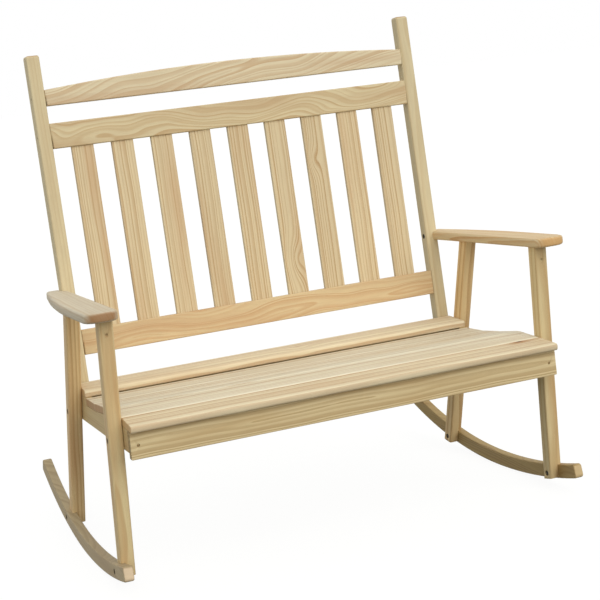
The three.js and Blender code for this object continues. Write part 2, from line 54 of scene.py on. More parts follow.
MM = 0.001
scene = bpy.context.scene

# %% [markdown]
# ## Camera
# The photograph was taken from the front left, a little above the seat. A camera could be aimed
# by eye, but here its place and turns were worked out from the edges of the posts, the seat and
# the rockers, so that they run in the picture as they do on the real bench. It is rolled by a few
# degrees, because the bench was rocked back when it was photographed and stands level here.

# %% Camera
CAMERA_PLACE = (-1.62452, -4.11806, 1.37117)
CAMERA_TURN = (79.5997, 5.5046, -23.2529)
CAMERA_LENS = 100.28
CAMERA_SENSOR = 36

camera_data = bpy.data.cameras.new("photo_camera")
camera_data.lens = CAMERA_LENS
camera_data.sensor_width = CAMERA_SENSOR
camera = bpy.data.objects.new("photo_camera", camera_data)
camera.location = CAMERA_PLACE
camera.rotation_euler = [math.radians(turn) for turn in CAMERA_TURN]
scene.collection.objects.link(camera)
scene.camera = camera
print("camera:", CAMERA_LENS, "mm lens at", CAMERA_PLACE)

# %% [markdown]
# ## Colours and nodes
# Colours are written as a painter's hex values, the way they look on a screen. A screen's values
# follow a curve, and Blender mixes light in linear values, so one function turns them. One more
# function adds a node, with its settings and whatever feeds it. Shader trees and Geometry Nodes
# trees both use it.

# %% Colour and node helpers
SCREEN_KNEE = 0.04045
SCREEN_SLOPE = 12.92
SCREEN_LIFT = 0.055
SCREEN_POWER = 2.4


def linear(hex_value):
    """A hex colour such as #d8b988 as linear red, green, blue and alpha."""
    parts = [int(hex_value[place:place + 2], 16) / 255 for place in (1, 3, 5)]
    curved = [((part + SCREEN_LIFT) / (1 + SCREEN_LIFT)) ** SCREEN_POWER for part in parts]
    return [part / SCREEN_SLOPE if part <= SCREEN_KNEE else curve for part, curve in zip(parts, curved)] + [1]


def add_node(tree, kind, inputs=(), **settings):
    """A new node. Each input takes a plain value, a socket, or a node, whose first output is used."""
    made = tree.nodes.new(kind)
    for name, value in settings.items():
        setattr(made, name, value)
    for place, value in dict(inputs).items():
        source = value.outputs[0] if isinstance(value, bpy.types.Node) else value
        if isinstance(source, bpy.types.NodeSocket):
            tree.links.new(source, made.inputs[place])
        else:
            made.inputs[place].default_value = source
    return made


def new_material(name):
    """A material with an empty node tree, and its output node."""
    material = bpy.data.materials.new(name)
    material.use_nodes = True
    material.node_tree.nodes.clear()
    return material, material.node_tree.nodes.new("ShaderNodeOutputMaterial")


print("the colour #d8b988 in linear light:", [round(part, 3) for part in linear("#d8b988")])

# %% [markdown]
# ## Daylight
# Outdoors under a bright sky the tops of boards are lightest, and a soft sun from the front leaves
# the faces turned left in shade. A lamp on every side would flatten that, so there is one wide sun
# and an even sky. The background is white only for the camera and for reflections: the light that
# falls on the wood stays at a plain level, where a colour looks as it is written.

# %% Sky
WHITE = "#ffffff"
SKY_COLOUR = "#f4f7fb"
SKY_LIGHT = 0.8

scene.view_settings.view_transform = "Standard"
world = bpy.data.worlds.new("open_sky")
world.use_nodes = True
scene.world = world
sky = world.node_tree
sky.nodes.clear()


def seen_directly(tree):
    """One for what the camera, a reflection or a clear surface sees, and zero for light on the object."""
    path = add_node(tree, "ShaderNodeLightPath")
    shiny = add_node(tree, "ShaderNodeMath", {
        0: path.outputs["Is Glossy Ray"], 1: path.outputs["Is Transmission Ray"]}, operation="MAXIMUM")
    return add_node(tree, "ShaderNodeMath", {0: path.outputs["Is Camera Ray"], 1: shiny}, operation="MAXIMUM")


daylight = add_node(sky, "ShaderNodeBackground", {"Color": linear(SKY_COLOUR), "Strength": SKY_LIGHT})
backdrop = add_node(sky, "ShaderNodeBackground", {"Color": linear(WHITE), "Strength": 1})
either = add_node(sky, "ShaderNodeMixShader", {0: seen_directly(sky), 1: daylight, 2: backdrop})
add_node(sky, "ShaderNodeOutputWorld", {"Surface": either})
print("sky:", SKY_COLOUR, "at strength", SKY_LIGHT)

# %% Sun
SUN_COLOUR = "#fffaf2"
SUN_LIGHT = 1.34
SUN_WIDTH = 55
SUN_FROM = (0.12, -0.8, 0.62)

sun_data = bpy.data.lights.new("soft_sun", "SUN")
sun_data.energy = SUN_LIGHT
sun_data.angle = math.radians(SUN_WIDTH)
sun_data.color = linear(SUN_COLOUR)[:3]
sun = bpy.data.objects.new("soft_sun", sun_data)
sun.rotation_euler = Vector(SUN_FROM).to_track_quat("Z", "Y").to_euler()
scene.collection.objects.link(sun)
print("sun:", SUN_COLOUR, "at strength", SUN_LIGHT, "and", SUN_WIDTH, "degrees wide")

# %% [markdown]
# ## A pale floor
# The floor is matt paint, which keeps a soft shadow. For the camera and for reflections half of it
# is a white glow, so that the ground looks white and the shadow faint. Light that bounces to the
# wood meets only the paint, or the undersides would look lit from below.

# %% Floor
FLOOR_SIZE = 40
FLOOR_COLOUR = "#7b7b74"
FLOOR_WHITE = 0.5
FLOOR_GLOW = 1.86

floor_mesh = bpy.data.meshes.new("pale_floor")
half = FLOOR_SIZE / 2
corners = [(-half, -half, 0), (half, -half, 0), (half, half, 0), (-half, half, 0)]
floor_mesh.from_pydata(corners, [], [(0, 1, 2, 3)])
floor = bpy.data.objects.new("pale_floor", floor_mesh)
scene.collection.objects.link(floor)
floor_paint, output = new_material("pale_floor_paint")
tree = floor_paint.node_tree
matt = add_node(tree, "ShaderNodeBsdfDiffuse", {"Color": linear(FLOOR_COLOUR)})
glow = add_node(tree, "ShaderNodeEmission", {"Color": linear(WHITE), "Strength": FLOOR_GLOW})
share = add_node(tree, "ShaderNodeMath", {0: seen_directly(tree), 1: FLOOR_WHITE}, operation="MULTIPLY")
mixed = add_node(tree, "ShaderNodeMixShader", {0: share, 1: matt, 2: glow})
tree.links.new(mixed.outputs[0], output.inputs["Surface"])
floor_mesh.materials.append(floor_paint)
print("floor:", FLOOR_SIZE, "m square")

# %% [markdown]
# ## Pine as a solid
# A flat wood picture wrapped round a board looks wrong at every edge. Real grain is a solid: a
# trunk is a stack of rings, one each year, and a board shows the surface where the saw went
# through them. A board cut beside the heart shows straight stripes, and one cut above it shows
# long pointed arches. So the material measures each point's distance from the heart of the tree,
# and that one number draws the stripes, the arches and the curved lines of the end grain.
#
# Each board carries a few attributes. `grain` is the point's place in the board's own axes:
# along, across and through. `board` is a number that gives each board another tree, and `end` is
# one where the surface is end grain. Three more tell where the board's knot is, how far it pushes
# the rings and how dark its heart is, and the last is one in the bolt bores, where the wood is
# painted nearly black as painted shade of the deep holes. All sizes inside the group are in
# millimetres. Young plantation pine grows fast, so its rings are 7 to 14 mm wide, pale when they
# start in spring and orange-brown where they end, with a sharp edge at the last wood of the year.

# %% The group that draws growth rings
RING_INPUTS = {
    "Ring": 7.0,
    "Pith across": 60.0,
    "Pith depth": 40.0,
    "Spread": 30.0,
    "Taper": 0.006,
    "Wander": 8.0,
    "Slant": 0.0,
    "Contrast": 0.8,
}
RING_COLOURS = {"Early": "#dcc79f", "Late": "#b98f5c", "Blush": "#cf9f72", "End": "#b48c5f"}
TREE_STEP = 7.31

rings = bpy.data.node_groups.new("growth_rings", "ShaderNodeTree")
for name, value in RING_INPUTS.items():
    socket = rings.interface.new_socket(name, in_out="INPUT", socket_type="NodeSocketFloat")
    socket.default_value = value
for name, value in RING_COLOURS.items():
    socket = rings.interface.new_socket(name, in_out="INPUT", socket_type="NodeSocketColor")
    socket.default_value = linear(value)
rings.interface.new_socket("Color", in_out="OUTPUT", socket_type="NodeSocketColor")
rings.interface.new_socket("Roughness", in_out="OUTPUT", socket_type="NodeSocketFloat")
rings.interface.new_socket("Normal", in_out="OUTPUT", socket_type="NodeSocketVector")

given = rings.nodes.new("NodeGroupInput").outputs
in_metres = add_node(rings, "ShaderNodeAttribute", attribute_name="grain").outputs["Vector"]
in_board = add_node(rings, "ShaderNodeVectorMath", {0: in_metres, "Scale": 1 / MM}, operation="SCALE")
board_number = add_node(rings, "ShaderNodeAttribute", attribute_name="board").outputs["Fac"]
tree_number = add_node(rings, "ShaderNodeMath", {0: board_number, 1: TREE_STEP}, operation="MULTIPLY")
print("inputs of the growth rings:", ", ".join([*RING_INPUTS, *RING_COLOURS]))

# %% [markdown]
# No two boards are alike, and no trunk is quite straight. A chance value for each board and a slow
# noise along it stand for that. Both are about a half on average, so a half is taken from them
# where they have to push both ways.

# %% Chance, and the wander of a trunk
MEAN_NOISE = (0.5, 0.5, 0.5)
WANDER_LENGTHS = (280, 110, 110)
WANDER_DETAIL = 1.3


def noise_in_board(lengths, detail):
    """Noise of some lengths in millimetres in a board's axes, with another pattern for each board."""
    place = add_node(rings, "ShaderNodeVectorMath", {
        0: in_board, 1: [1 / length for length in lengths]}, operation="MULTIPLY")
    return add_node(rings, "ShaderNodeTexNoise", {
        "Vector": place, "W": tree_number, "Scale": 1, "Detail": detail}, noise_dimensions="4D").outputs


chance = add_node(rings, "ShaderNodeTexWhiteNoise", {"W": tree_number}, noise_dimensions="1D")
about_nought = add_node(rings, "ShaderNodeVectorMath", {
    0: chance.outputs["Color"], 1: MEAN_NOISE}, operation="SUBTRACT")
jitter = add_node(rings, "ShaderNodeSeparateXYZ", {0: about_nought}).outputs
bend = add_node(rings, "ShaderNodeVectorMath", {
    0: noise_in_board(WANDER_LENGTHS, WANDER_DETAIL)["Color"], 1: MEAN_NOISE}, operation="SUBTRACT")
drift = add_node(rings, "ShaderNodeVectorMath", {0: bend, "Scale": given["Wander"]}, operation="SCALE")
wander = add_node(rings, "ShaderNodeSeparateXYZ", {0: drift}).outputs
print("with chance and wander:", len(rings.nodes), "nodes")

# %% [markdown]
# The heart of the tree lies beside or under the board, at a place that differs a little from
# board to board. It isn't quite in line with the board either, which is what turns stripes into
# arches. How far beside and how far below the point it lies give the distance, as the two short
# sides of a right-angled triangle give the long one.

# %% Distance from the heart of the tree
along, across, through = add_node(rings, "ShaderNodeSeparateXYZ", {0: in_board}).outputs
beside = add_node(rings, "ShaderNodeMath", {
    0: along, 1: given["Slant"], 2: across}, operation="MULTIPLY_ADD")
beside = add_node(rings, "ShaderNodeMath", {0: beside, 1: given["Pith across"]}, operation="ADD")
beside = add_node(rings, "ShaderNodeMath", {
    0: jitter[0], 1: given["Spread"], 2: beside}, operation="MULTIPLY_ADD")
beside = add_node(rings, "ShaderNodeMath", {0: beside, 1: wander[0]}, operation="ADD")
below = add_node(rings, "ShaderNodeMath", {
    0: along, 1: given["Taper"], 2: given["Pith depth"]}, operation="MULTIPLY_ADD")
below = add_node(rings, "ShaderNodeMath", {0: below, 1: through}, operation="ADD")
below = add_node(rings, "ShaderNodeMath", {0: below, 1: wander[1]}, operation="ADD")
squares = add_node(rings, "ShaderNodeMath", {0: below, 1: below}, operation="MULTIPLY")
squares = add_node(rings, "ShaderNodeMath", {
    0: beside, 1: beside, 2: squares}, operation="MULTIPLY_ADD")
from_heart = add_node(rings, "ShaderNodeMath", {0: squares}, operation="SQRT")
print("with the distance from the heart:", len(rings.nodes), "nodes")

# %% [markdown]
# A knot is where a branch left the trunk. It pushes the rings up round it, and its push fades
# with the distance from the knot, which is counted in knot sizes. Along the grain that distance
# is counted short, so a knot is an eye and not a disc. Through the board it isn't counted at all,
# so a knot shows on both faces.

# %% The push of a knot
KNOT_FLAT = (0.45, 1, 0)
NO_KNOT = 0.01

knot_place = add_node(rings, "ShaderNodeAttribute", attribute_name="knot_place").outputs["Vector"]
knot_size = add_node(rings, "ShaderNodeAttribute", attribute_name="knot_size").outputs["Fac"]
from_knot = add_node(rings, "ShaderNodeVectorMath", {0: in_board, 1: knot_place}, operation="SUBTRACT")
from_knot = add_node(rings, "ShaderNodeVectorMath", {0: from_knot, 1: KNOT_FLAT}, operation="MULTIPLY")
knot_reach = add_node(rings, "ShaderNodeVectorMath", {0: from_knot}, operation="LENGTH").outputs["Value"]
safe_size = add_node(rings, "ShaderNodeMath", {0: knot_size, 1: NO_KNOT}, operation="MAXIMUM")
knot_away = add_node(rings, "ShaderNodeMath", {0: knot_reach, 1: safe_size}, operation="DIVIDE")
knot_fade = add_node(rings, "ShaderNodeMath", {0: knot_away, 1: knot_away}, operation="MULTIPLY")
knot_fade = add_node(rings, "ShaderNodeMath", {0: knot_fade, 1: -1}, operation="MULTIPLY")
knot_rise = add_node(rings, "ShaderNodeMath", {0: knot_fade}, operation="EXPONENT")
ring_place = add_node(rings, "ShaderNodeMath", {
    0: knot_rise, 1: knot_size, 2: from_heart}, operation="MULTIPLY_ADD")
print("with the knot:", len(rings.nodes), "nodes")

# %% [markdown]
# The distance in rings has a whole part, the year, and a broken part, the season. The season
# drives a ramp that climbs slowly to dark latewood and drops sharply. Years differ: wet ones give
# wide pale rings and dry ones thin dark ones, so a slow noise sways the widths, and the year picks
# how dark the latewood gets.

# %% Years and seasons
YEAR_LENGTH = 23
YEAR_SWAY = 3
PALEST_YEAR = 0.3
LATEWOOD = ((0.38, 0.12), (0.74, 0.78), (0.9, 1.0), (0.985, 0.15))
BLACK = (0, 0, 0, 1)

slow_place = add_node(rings, "ShaderNodeMath", {0: ring_place, 1: 1 / YEAR_LENGTH}, operation="MULTIPLY")
slow_noise = add_node(rings, "ShaderNodeTexNoise", {
    "W": slow_place, "Scale": 1, "Detail": 1}, noise_dimensions="1D")
sway = add_node(rings, "ShaderNodeMath", {0: slow_noise, 1: YEAR_SWAY}, operation="MULTIPLY")
years = add_node(rings, "ShaderNodeMath", {0: ring_place, 1: given["Ring"]}, operation="DIVIDE")
years = add_node(rings, "ShaderNodeMath", {0: years, 1: sway}, operation="ADD")
season = add_node(rings, "ShaderNodeMath", {0: years}, operation="FRACT")
ramp = add_node(rings, "ShaderNodeValToRGB", {"Fac": season})
ramp.color_ramp.interpolation = "EASE"
for place, level in LATEWOOD:
    ramp.color_ramp.elements.new(place).color = (level, level, level, 1)
for first_or_last in (0, -1):
    ramp.color_ramp.elements[first_or_last].color = BLACK
year_number = add_node(rings, "ShaderNodeMath", {0: years}, operation="FLOOR")
year_number = add_node(rings, "ShaderNodeMath", {0: year_number, 1: tree_number}, operation="ADD")
year_kind = add_node(rings, "ShaderNodeTexWhiteNoise", {"W": year_number}, noise_dimensions="1D")
year_dark = add_node(rings, "ShaderNodeMapRange", {
    "Value": year_kind.outputs["Value"], "To Min": PALEST_YEAR, "To Max": 1})
latewood = add_node(rings, "ShaderNodeMath", {0: ramp, 1: year_dark}, operation="MULTIPLY")
latewood = add_node(rings, "ShaderNodeMath", {0: latewood, 1: given["Contrast"]}, operation="MULTIPLY")
print("with years and seasons:", len(rings.nodes), "nodes")

# %% [markdown]
# On top of the rings come tones. Slow patches make a board pinker here and there. Round a dark
# knot the wood turns orange with resin. End grain drinks light, so it is browner. A mix node has
# sockets for every kind of value: two colours go in at numbers 6 and 7 and come out at number 2.

# %% Tones
MIX_A, MIX_B, MIX_RESULT = 6, 7, 2
PATCH_LENGTHS = (420, 38, 38)
PATCH_DETAIL = 2
BLUSH_SPAN = {"From Min": 0.5, "From Max": 0.75, "To Min": 0, "To Max": 0.55}
END_SPAN = {"From Min": 0.4, "From Max": 0.9}
END_BROWN = 0.8

patch = noise_in_board(PATCH_LENGTHS, PATCH_DETAIL)["Fac"]
blushed = add_node(rings, "ShaderNodeMapRange", {"Value": patch, **BLUSH_SPAN})
core_share = add_node(rings, "ShaderNodeAttribute", attribute_name="knot_core").outputs["Fac"]
knot_warm = add_node(rings, "ShaderNodeMath", {0: knot_rise, 1: core_share}, operation="MULTIPLY")
end_share = add_node(rings, "ShaderNodeAttribute", attribute_name="end").outputs["Fac"]
end_grain = add_node(rings, "ShaderNodeMapRange", {
    "Value": end_share, **END_SPAN, "To Min": 0, "To Max": END_BROWN})
shown = add_node(rings, "ShaderNodeMix", {
    0: latewood, MIX_A: given["Early"], MIX_B: given["Late"]}, data_type="RGBA")
for how_much, tone in ((blushed, "Blush"), (knot_warm, "Late"), (end_grain, "End")):
    shown = add_node(rings, "ShaderNodeMix", {
        0: how_much, MIX_A: shown.outputs[MIX_RESULT], MIX_B: given[tone]}, data_type="RGBA")
print("with tones:", len(rings.nodes), "nodes")

# %% [markdown]
# Then comes how light the wood is. Fibres a little under 1 mm wide run with the grain: they are
# what catches the light on bare planed wood. Patches, whole boards, end grain and dark knots are
# lighter or darker too, the bolt bores are darkened as painted shade, and all these factors multiply.

# %% Light and dark
FIBRE_LENGTHS = (36, 0.9, 0.9)
FIBRE_DETAIL = 3
PATCH_LIGHT = {"From Min": 0.3, "From Max": 0.7, "To Min": 1.05, "To Max": 0.95}
FIBRE_LIGHT = {"From Min": 0.3, "From Max": 0.7, "To Min": 1.05, "To Max": 0.93}
BOARD_LIGHT = {"From Min": -0.5, "From Max": 0.5, "To Min": 0.95, "To Max": 1.04}
KNOT_SPAN = {"From Min": 0.15, "From Max": 0.35, "To Min": 1, "To Max": 0}
END_DARKER = 0.94
KNOT_DARK = 0.35
# Painted shade: how dark the wood in the bolt bores is drawn.
BORE_SHADE_DARK = 0.22

fibre = noise_in_board(FIBRE_LENGTHS, FIBRE_DETAIL)["Fac"]
patch_light = add_node(rings, "ShaderNodeMapRange", {"Value": patch, **PATCH_LIGHT})
fibre_light = add_node(rings, "ShaderNodeMapRange", {"Value": fibre, **FIBRE_LIGHT})
board_light = add_node(rings, "ShaderNodeMapRange", {"Value": jitter[2], **BOARD_LIGHT})
end_light = add_node(rings, "ShaderNodeMapRange", {
    "Value": end_share, **END_SPAN, "To Min": 1, "To Max": END_DARKER})
knot_edge = add_node(rings, "ShaderNodeMapRange", {"Value": knot_away, **KNOT_SPAN})
knot_core = add_node(rings, "ShaderNodeMath", {0: knot_edge, 1: core_share}, operation="MULTIPLY")
knot_light = add_node(rings, "ShaderNodeMapRange", {"Value": knot_core, "To Min": 1, "To Max": KNOT_DARK})
# The wood in the bolt bores is darkened as painted shade.
bore_shade = add_node(rings, "ShaderNodeAttribute", attribute_name="bore_shade").outputs["Fac"]
bore_shade_light = add_node(rings, "ShaderNodeMapRange", {"Value": bore_shade, "To Min": 1, "To Max": BORE_SHADE_DARK})
light = patch_light
for factor in (fibre_light, board_light, end_light, knot_light, bore_shade_light):
    light = add_node(rings, "ShaderNodeMath", {0: light, 1: factor}, operation="MULTIPLY")
lit = add_node(rings, "ShaderNodeVectorMath", {
    0: shown.outputs[MIX_RESULT], "Scale": light}, operation="SCALE")
print("with light and dark:", len(rings.nodes), "nodes")

# %% [markdown]
# Last comes the surface. The softer early wood is rougher, and a bump raises the hard latewood
# and the fibres by a hair, as planing and weather do.

# %% Roughness and relief
WOOD_ROUGHNESS = {"To Min": 0.66, "To Max": 0.52}
FIBRE_RELIEF = 0.5
BUMP_HEIGHT = 0.18 * MM
BUMP_STRENGTH = 0.8

rough = add_node(rings, "ShaderNodeMapRange", {"Value": latewood, **WOOD_ROUGHNESS})
relief = add_node(rings, "ShaderNodeMath", {
    0: fibre, 1: FIBRE_RELIEF, 2: latewood}, operation="MULTIPLY_ADD")
bump = add_node(rings, "ShaderNodeBump", {
    "Height": relief, "Distance": BUMP_HEIGHT, "Strength": BUMP_STRENGTH})
add_node(rings, "NodeGroupOutput", {"Color": lit, "Roughness": rough, "Normal": bump})
print("growth rings:", len(rings.nodes), "nodes")

# %% [markdown]
# ## The cuts of pine on this bench
# Every board is the same wood, and differs by where the saw took it from the tree. Legs, posts
# and slats are cut beside the heart and show straight stripes. The crest, the rails and the apron
# are cut above it and show long arches, and in the crest they run aslant. The scooped seat is the
# palest wood, with even stripes. Nothing is on the wood but air: no oil or varnish, so it is rough
# and has no coat.

# %% Three cuts and the shader of bare pine
PINE_IOR = 1.53
PINE_SPECULAR = 0.4
STRAIGHT = {"Ring": 7.5, "Pith across": 95, "Pith depth": 22, "Spread": 70, "Taper": 0.004, "Wander": 12}
ARCHED = {"Ring": 10, "Pith across": 4, "Pith depth": 14, "Spread": 30, "Taper": 0.014, "Wander": 80}
EVEN = {"Ring": 12, "Pith across": 140, "Pith depth": 30, "Spread": 90, "Taper": 0.003, "Wander": 14}


def pine(name, cut, early, late, blush, own=()):
    """Bare planed pine of one cut and one set of tones, and what these boards have of their own."""
    material, output = new_material(name)
    tree = material.node_tree
    tones = {"Early": linear(early), "Late": linear(late), "Blush": linear(blush)}
    wood = add_node(tree, "ShaderNodeGroup", node_tree=rings)
    for socket, value in {**cut, **tones, **dict(own)}.items():
        wood.inputs[socket].default_value = value
    shader = add_node(tree, "ShaderNodeBsdfPrincipled", {
        "Base Color": wood.outputs["Color"], "Roughness": wood.outputs["Roughness"],
        "Normal": wood.outputs["Normal"], "IOR": PINE_IOR, "Specular IOR Level": PINE_SPECULAR})
    tree.links.new(shader.outputs[0], output.inputs["Surface"])
    return material


print("rings of the three cuts:", [cut["Ring"] for cut in (STRAIGHT, ARCHED, EVEN)], "mm wide")

# %% Pine for the back
crest_pine = pine("planed_pine_crest", ARCHED, "#e0d1ae", "#c09a6c", "#d2ac82", {"Slant": -0.16})
rail_pine = pine("planed_pine_middle_rail", ARCHED, "#dccba2", "#b8925e", "#cba87c", {
    "Ring": 14, "Pith across": 75, "Wander": 210, "Contrast": 0.9})
low_rail_pine = pine("planed_pine_lower_rail", ARCHED, "#dfc698", "#c5905c", "#d6a879", {
    "Ring": 11, "Pith across": 30, "Wander": 90, "Contrast": 0.75})
slat_pine = pine("planed_pine_slats", STRAIGHT, "#dfcca4", "#ae844c", "#d2a97a", {
    "Ring": 9, "Contrast": 0.85})
post_pine = pine("planed_pine_posts", STRAIGHT, "#dacaa2", "#bfa270", "#d0b88c", {"Contrast": 0.55})
print("for the back:", [wood.name for wood in (crest_pine, rail_pine, low_rail_pine, slat_pine, post_pine)])

# %% [markdown]
# Boards of one bench come from many trees. One rocker is greyer than the other, and the rear legs
# are redder than the front ones. The cut tips of the rockers are paler than their sides, so their
# end grain has a pale tone of its own.

# %% Pine for the end frames and the seat frame
front_leg_pine = pine("planed_pine_front_legs", STRAIGHT, "#ddc998", "#ae8147", "#cd9a60", {
    "Ring": 10, "Contrast": 0.8})
rear_leg_pine = pine("planed_pine_rear_legs", STRAIGHT, "#e8cc97", "#b07b41", "#d79a60", {
    "Ring": 10, "Contrast": 0.9})
left_rocker_pine = pine("planed_pine_left_rocker", STRAIGHT, "#b6a37d", "#8b7350", "#a98e69", {
    "Contrast": 0.6, "End": linear("#f0d6b2")})
right_rocker_pine = pine("planed_pine_right_rocker", STRAIGHT, "#bca26c", "#8c6834", "#b38c54", {
    "Contrast": 0.7, "End": linear("#dfc493")})
frame_pine = pine("planed_pine_seat_frame", STRAIGHT, "#d2ba87", "#af884e", "#c9a171")
apron_pine = pine("planed_pine_apron", ARCHED, "#dfca9b", "#a17c45", "#c7a268", {
    "Wander": 24, "Contrast": 1, "End": linear("#d6bb8a")})
print("for the rockers:", [wood.name for wood in (left_rocker_pine, right_rocker_pine)])

# %% [markdown]
# The two arms come from two trees as well, and the left one is greyer. The front and the rear
# board of the seat are a little more yellow than the four in the scoop.

# %% Pine for the seat and the arms
seat_pine = pine("planed_pine_seat", EVEN, "#ece4c9", "#b28a58", "#dcc59c", {
    "Contrast": 0.95, "End": linear("#b17d3c")})
outer_seat_pine = pine("planed_pine_outer_seat_boards", EVEN, "#eadcb8", "#b37f4a", "#dab689", {
    "Contrast": 1, "End": linear("#d8ae73")})
left_arm_pine = pine("planed_pine_left_arm", STRAIGHT, "#d5c9af", "#b2915f", "#ccb592", {
    "Contrast": 0.5, "End": linear("#9f6a2e")})
right_arm_pine = pine("planed_pine_right_arm", STRAIGHT, "#e3cea2", "#c18a4c", "#dca96a", {
    "Contrast": 0.85, "End": linear("#e2b16f")})
print("for the arms:", [wood.name for wood in (left_arm_pine, right_arm_pine)])

# %% [markdown]
# ## Planed boards
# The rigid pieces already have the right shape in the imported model, so each is copied, its loose
# triangles are joined, and its facets are shaded as the soft edges that they stand for. A bevel
# would find nothing new to round. A board's own axes come from how its surface is spread in space:
# it is longest along the grain and thinnest through the board. That finds the grain of leaning
# legs and toed arms without one typed angle.

# %% A board's own axes
def grain_axes(mesh):
    """The middle of a board and its axes along, across and through, as the rows of a matrix."""
    points = np.array([vertex.co for vertex in mesh.vertices])
    mesh.calc_loop_triangles()
    corners = points[[triangle.vertices for triangle in mesh.loop_triangles]]
    areas = np.linalg.norm(np.cross(corners[:, 1] - corners[:, 0], corners[:, 2] - corners[:, 0]), axis=1)
    middle = np.average(corners.mean(axis=1), axis=0, weights=areas)
    corners = corners - middle
    total = corners.sum(axis=1)
    spread = np.einsum("n,ni,nj->ij", areas, total, total)
    spread = spread + np.einsum("n,nki,nkj->ij", areas, corners, corners)
    axes = np.linalg.eigh(spread)[1].T[::-1]
    return middle, np.array([axis * np.sign(axis[np.abs(axis).argmax()]) for axis in axes])


print("the left rear leg's grain runs along", grain_axes(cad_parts["rear_leg_left"].data)[1][0].round(3))

# %% [markdown]
# A few boards have a knot: its place in the board's axes in millimetres, its size, and how dark
# its heart is, from one down to zero for a healed knot that only bends the rings.

# %% Knots
KNOTS = {
    "back_slat_6": ((-150, 4, 0), 26, 0),
    "back_slat_7": ((120, -10, 0), 16, 0),
    "rocker_right": ((-355, 23, 0), 20, 0.7),
    "seat_slat_front": ((511, 35, 0), 16, 1),
    "seat_slat_rear": ((60, -14, 0), 18, 0),
}
CLEAR_BOARD = ((0, 0, 0), 0, 0)


def write_attribute(mesh, name, kind, domain, field, values):
    """A named value on each point, corner or face of a mesh."""
    attribute = mesh.attributes.new(name, kind, domain)
    attribute.data.foreach_set(field, np.asarray(values, dtype=np.float32).ravel())


def write_knots(mesh, names):
    """The knot that each point reads, from the name of the board that the point belongs to."""
    knots = [KNOTS.get(name, CLEAR_BOARD) for name in names]
    write_attribute(mesh, "knot_place", "FLOAT_VECTOR", "POINT", "vector", [place for place, _, _ in knots])
    write_attribute(mesh, "knot_size", "FLOAT", "POINT", "value", [size for _, size, _ in knots])
    write_attribute(mesh, "knot_core", "FLOAT", "POINT", "value", [core for _, _, core in knots])


print("boards with a knot:", len(KNOTS))

# %% [markdown]
# The deep bore round each bolt is painted dark, as painted shade. Every bolt runs from side to side.
# The box round each bolt and nut is grown by 8 mm that way and by a little the other ways, so it
# takes in the walls of the bore. A face of a board gets the painted shade if all its corners lie in such a
# box.

# %% Bolt holes
BOLT_NODES = [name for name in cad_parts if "_bolt_" in name or "_nut_" in name]
BORE_GROWTH = Vector((8, 1.5, 1.5)) * MM
BORES = [(low - BORE_GROWTH, high + BORE_GROWTH) for low, high in map(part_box, BOLT_NODES)]


def bore_shade_faces(mesh):
    """One for each face inside a bolt hole or its wider bore, which gets painted shade, and zero for the
    other faces.
    """
    places = np.array([vertex.co for vertex in mesh.vertices])
    in_bore_shade = np.zeros(len(mesh.polygons))
    for low, high in BORES:
        inside = np.all((places > low) & (places < high), axis=1)
        in_bore_shade = np.maximum(in_bore_shade, [inside[list(face.vertices)].all() for face in mesh.polygons])
    return in_bore_shade


print("boxes round bolts and nuts:", len(BORES))

# %% [markdown]
# Weighted normals keep the wide faces flat, so that only the eased edges catch a highlight. A
# modifier works them out, and the result is kept as a plain mesh, so that no modifier is left.

# %% Soft edges
SHARP_ANGLE = 50


def keep_result(piece):
    """Runs the modifiers of a piece and keeps what they make as its plain mesh."""
    bpy.context.view_layer.update()
    made = bpy.data.meshes.new_from_object(piece.evaluated_get(bpy.context.evaluated_depsgraph_get()))
    piece.modifiers.clear()
    piece.data = made
    made.name = piece.name


def soften(piece):
    """Smooth shading over the eased edges, with the wide faces kept flat."""
    piece.data.shade_smooth()
    piece.data.set_sharp_from_angle(angle=math.radians(SHARP_ANGLE))
    weighted = piece.modifiers.new("weighted_normals", "WEIGHTED_NORMAL")
    weighted.keep_sharp = True
    keep_result(piece)


print("edges stay sharp over", SHARP_ANGLE, "degrees")

# %% [markdown]
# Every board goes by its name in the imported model, with its pine and its slot. The back slats are
# left out, because one rule makes them all further on.

# %% The boards and their pine
SIDES = ("left", "right")
SCOOP_BOARDS = (1, 2, 3, 4)
BOARDS = [
    ("crest_rail", crest_pine, "back_wood"),
    ("middle_rail", rail_pine, "back_wood"),
    ("lower_rail", low_rail_pine, "back_wood"),
    ("front_apron", apron_pine, "frame_wood"),
    ("rear_stretcher", frame_pine, "frame_wood"),
    ("seat_support", frame_pine, "frame_wood"),
    *[(f"back_post_{side}", post_pine, "back_wood") for side in SIDES],
    ("rocker_left", left_rocker_pine, "frame_wood"),
    ("rocker_right", right_rocker_pine, "frame_wood"),
    *[(f"front_leg_{side}", front_leg_pine, "frame_wood") for side in SIDES],
    *[(f"rear_leg_{side}", rear_leg_pine, "frame_wood") for side in SIDES],
    *[(f"seat_rail_{side}", frame_pine, "frame_wood") for side in SIDES],
    ("arm_left", left_arm_pine, "seat_wood"),
    ("arm_right", right_arm_pine, "seat_wood"),
    ("seat_slat_front", outer_seat_pine, "seat_wood"),
    ("seat_slat_rear", outer_seat_pine, "seat_wood"),
    *[(f"seat_slat_{place}", seat_pine, "seat_wood") for place in SCOOP_BOARDS],
]
print("boards to plane:", len(BOARDS))

# %% [markdown]
# A board's number in the list picks its tree. The softened normals also tell where the wood is cut
# across the grain: a corner whose normal points along the board is end grain, and on a rounded
# edge that fades into the side.

# %% Plane the boards
MERGE = 0.01 * MM


